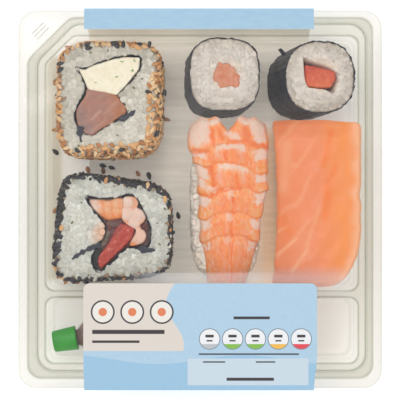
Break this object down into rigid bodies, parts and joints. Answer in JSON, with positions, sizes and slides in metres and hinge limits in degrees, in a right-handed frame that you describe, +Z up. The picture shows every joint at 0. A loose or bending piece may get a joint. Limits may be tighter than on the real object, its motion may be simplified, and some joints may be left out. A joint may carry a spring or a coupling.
{
  "type": "takeaway sushi tray",
  "caption": "Sealed clear tray of sushi: inside-out rolls, small maki and nigiri under a film lid, with a soy sauce bottle and a pale blue card sleeve round it.",
  "frame": {"origin": "on the table under the middle of the pack", "axes": "+Z up out of the film, +Y from the long label flap towards the back of the tray, +X to the right with the label at the front"},
  "size_m": [0.131, 0.1378, 0.0302],
  "materials": {
    "clear_tray": "clear thermoformed sheet",
    "clear_film": "clear sealed film",
    "card": "pale blue printed board, satin",
    "rice": "moist cooked rice grains",
    "maki_rice": "moist cooked rice grains",
    "nori": "dry seaweed sheet",
    "cream_cheese": "soft cream cheese",
    "cooked_salmon": "hot-cured salmon, cut",
    "red_pepper": "moist cut pepper",
    "prawn": "cooked prawn, orange bands",
    "pale_prawn": "cooked prawn, pale",
    "maki_salmon": "cooked salmon",
    "salmon": "moist salmon slice",
    "clear_bottle": "clear soft bottle",
    "soy_sauce": "dark brown sauce",
    "green_plastic": "moulded screw cap"
  },
  "bodies": {
    "root": {"tray": "clear_tray", "film_lid": "clear_film", "sleeve": "card", "sesame_roll_rice": "rice", "sesame_roll_nori": "nori", "sesame_roll_cream_cheese": "cream_cheese", "sesame_roll_salmon": "cooked_salmon", "black_sesame_roll_rice": "rice", "black_sesame_roll_nori": "nori", "black_sesame_roll_pepper": "red_pepper", "black_sesame_roll_prawn_left": "prawn", "black_sesame_roll_prawn_right": "pale_prawn", "salmon_maki_nori": "nori", "salmon_maki_rice": "maki_rice", "salmon_maki_salmon": "maki_salmon", "pepper_maki_nori": "nori", "pepper_maki_rice": "maki_rice", "pepper_maki_pepper": "red_pepper", "prawn_nigiri_rice": "rice", "prawn_nigiri_prawn": "prawn", "salmon_nigiri_rice": "rice", "salmon_nigiri_salmon": "salmon", "soy_bottle": "clear_bottle", "soy_sauce": "soy_sauce", "soy_cap": "green_plastic"}
  },
  "joints": []
}
